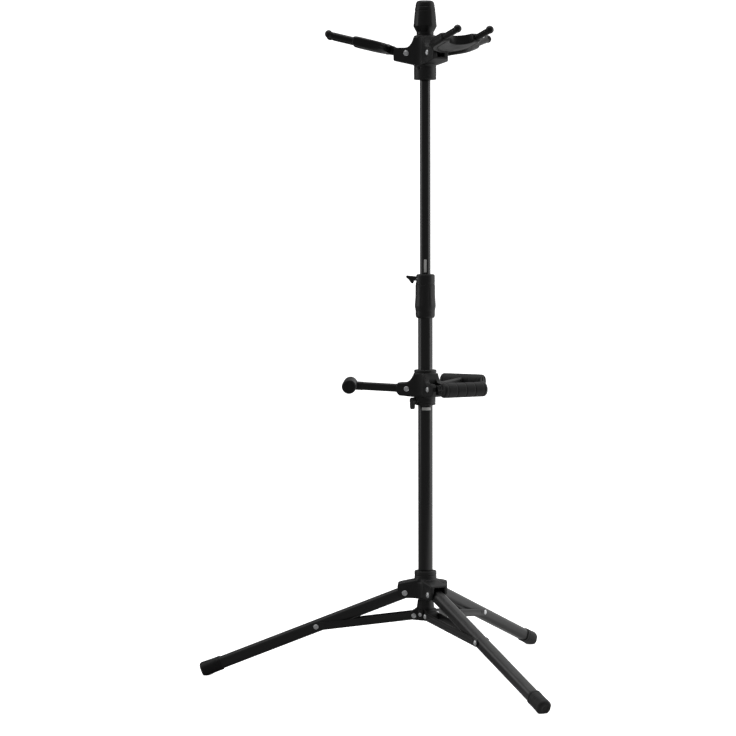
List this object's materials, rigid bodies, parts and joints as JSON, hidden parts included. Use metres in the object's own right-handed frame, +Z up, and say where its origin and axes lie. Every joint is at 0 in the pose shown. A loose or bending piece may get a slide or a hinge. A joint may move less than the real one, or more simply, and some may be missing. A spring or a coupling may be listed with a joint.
{
  "type": "instrument stand",
  "caption": "Free-standing folding tripod stand with a telescopic pole, folding rest arms with round pads and folding U-shaped yokes that hang instruments by the neck.",
  "frame": {"origin": "on the floor plane, on the pole's axis", "axes": "+Z up along the pole; the first leg, rest arm and yoke point along -X, the other two tiers' spokes 120 degrees either side"},
  "size_m": [0.5925, 0.6802, 1.152],
  "materials": {
    "black_tube": "satin black powder coat",
    "hub_plastic": "fine matt black moulding",
    "clutch_plastic": "matt black moulding",
    "black_steel": "satin black coated steel",
    "arm_plastic": "matt black moulding",
    "pad_rubber": "soft matt black rubber",
    "foot_rubber": "matt black rubber",
    "grip_rubber": "smooth black rubber",
    "rivet_steel": "bright nickel plate",
    "plain_steel": "plain zinc plated steel",
    "bush_nylon": "natural nylon",
    "mark_white": "plain pale mark"
  },
  "bodies": {
    "base": {"lower_tube": "black_tube", "tube_end_plug": "clutch_plastic", "strut_hub": "hub_plastic", "strut_hub_screws": "rivet_steel", "strut_pivot_pins": "rivet_steel", "clutch_body": "clutch_plastic", "clutch_cap": "clutch_plastic", "clutch_collet": "bush_nylon", "clutch_lever_pin": "plain_steel", "clutch_spring": "plain_steel", "height_mark_lower": "mark_white"},
    "clutch_lever": {"clutch_lever": "clutch_plastic"},
    "post": {"upper_tube": "black_tube", "post_bush": "bush_nylon", "yoke_head": "hub_plastic", "head_set_screw": "plain_steel", "grip_stud": "plain_steel", "top_grip": "grip_rubber", "yoke_pivot_pins": "rivet_steel", "height_mark_upper": "mark_white"},
    "collar": {"mid_collar": "hub_plastic", "arm_pivot_pins": "rivet_steel", "clamp_nut": "plain_steel"},
    "clamp": {"clamp_screw": "rivet_steel", "clamp_lever": "clutch_plastic"},
    "leg_slider": {"leg_hub": "hub_plastic", "leg_pivot_pins": "rivet_steel"},
    "leg_left": {"leg_left": "black_tube", "foot_left": "foot_rubber"},
    "strut_left": {"strut_left": "black_steel", "strut_rivets_left": "rivet_steel"},
    "arm_left": {"arm_left": "arm_plastic", "pad_left": "pad_rubber"},
    "yoke_left": {"yoke_left": "black_steel", "yoke_sleeve_left": "pad_rubber", "yoke_tips_left": "pad_rubber"},
    "leg_front": {"leg_front": "black_tube", "foot_front": "foot_rubber"},
    "strut_front": {"strut_front": "black_steel", "strut_rivets_front": "rivet_steel"},
    "arm_front": {"arm_front": "arm_plastic", "pad_front": "pad_rubber"},
    "yoke_front": {"yoke_front": "black_steel", "yoke_sleeve_front": "pad_rubber", "yoke_tips_front": "pad_rubber"},
    "leg_rear": {"leg_rear": "black_tube", "foot_rear": "foot_rubber"},
    "strut_rear": {"strut_rear": "black_steel", "strut_rivets_rear": "rivet_steel"},
    "arm_rear": {"arm_rear": "arm_plastic", "pad_rear": "pad_rubber"},
    "yoke_rear": {"yoke_rear": "black_steel", "yoke_sleeve_rear": "pad_rubber", "yoke_tips_rear": "pad_rubber"}
  },
  "joints": [
    {"name": "leg_hub_slide", "type": "slide", "parent": "base", "child": "leg_slider", "axis": [0, 0, 1], "range_m": [0, 0.275]},
    {"name": "post_slide", "type": "slide", "parent": "base", "child": "post", "axis": [0, 0, 1], "range_m": [-0.3, 0.02]},
    {"name": "clutch_trigger", "type": "hinge", "parent": "base", "child": "clutch_lever", "pos_m": [-0.0136, 0, 0.6824], "axis": [0, -1, 0], "range_deg": [0, 12], "stiffness_Nm_per_rad": 0.4},
    {"name": "collar_slide", "type": "slide", "parent": "base", "child": "collar", "axis": [0, 0, 1], "range_m": [0, 0.08]},
    {"name": "clamp_turn", "type": "hinge", "parent": "collar", "child": "clamp", "pos_m": [0, 0, 0.475], "axis": [-0.866, -0.5, 0], "range_deg": [0, 90]},
    {"name": "leg_fold_left", "type": "hinge", "parent": "leg_slider", "child": "leg_left", "pos_m": [-0.0354, 0, 0.145], "axis": [0, -1, 0], "range_deg": [0, 52.6]},
    {"name": "strut_fold_left", "type": "hinge", "parent": "base", "child": "strut_left", "pos_m": [-0.0199, 0, 0.1057], "axis": [0, 1, 0], "range_deg": [0, 75.7]},
    {"name": "leg_fold_front", "type": "hinge", "parent": "leg_slider", "child": "leg_front", "pos_m": [0.0177, -0.03066, 0.145], "axis": [0.866, 0.5, 0], "range_deg": [0, 52.6]},
    {"name": "strut_fold_front", "type": "hinge", "parent": "base", "child": "strut_front", "pos_m": [0.00995, -0.01723, 0.1057], "axis": [-0.866, -0.5, 0], "range_deg": [0, 75.7]},
    {"name": "leg_fold_rear", "type": "hinge", "parent": "leg_slider", "child": "leg_rear", "pos_m": [0.0177, 0.03066, 0.145], "axis": [-0.866, 0.5, 0], "range_deg": [0, 52.6]},
    {"name": "strut_fold_rear", "type": "hinge", "parent": "base", "child": "strut_rear", "pos_m": [0.00995, 0.01723, 0.1057], "axis": [0.866, -0.5, 0], "range_deg": [0, 75.7]},
    {"name": "arm_fold_left", "type": "hinge", "parent": "collar", "child": "arm_left", "pos_m": [-0.032, 0, 0.495], "axis": [0, 1, 0], "range_deg": [0, 75]},
    {"name": "arm_fold_front", "type": "hinge", "parent": "collar", "child": "arm_front", "pos_m": [0.016, -0.02771, 0.495], "axis": [-0.866, -0.5, 0], "range_deg": [0, 75]},
    {"name": "arm_fold_rear", "type": "hinge", "parent": "collar", "child": "arm_rear", "pos_m": [0.016, 0.02771, 0.495], "axis": [0.866, -0.5, 0], "range_deg": [0, 75]},
    {"name": "yoke_fold_left", "type": "hinge", "parent": "post", "child": "yoke_left", "pos_m": [-0.0322, 0, 1.063], "axis": [0, 1, 0], "range_deg": [0, 70]},
    {"name": "yoke_fold_front", "type": "hinge", "parent": "post", "child": "yoke_front", "pos_m": [0.0161, -0.02789, 1.063], "axis": [-0.866, -0.5, 0], "range_deg": [0, 70]},
    {"name": "yoke_fold_rear", "type": "hinge", "parent": "post", "child": "yoke_rear", "pos_m": [0.0161, 0.02789, 1.063], "axis": [0.866, -0.5, 0], "range_deg": [0, 70]}
  ],
  "couplings": [
    {"joint": "leg_fold_left", "follows": "leg_hub_slide", "rad_per_m": 3.3281},
    {"joint": "strut_fold_left", "follows": "leg_hub_slide", "rad_per_m": 4.7954},
    {"joint": "leg_fold_front", "follows": "leg_hub_slide", "rad_per_m": 3.3281},
    {"joint": "strut_fold_front", "follows": "leg_hub_slide", "rad_per_m": 4.7954},
    {"joint": "leg_fold_rear", "follows": "leg_hub_slide", "rad_per_m": 3.3281},
    {"joint": "strut_fold_rear", "follows": "leg_hub_slide", "rad_per_m": 4.7954}
  ]
}
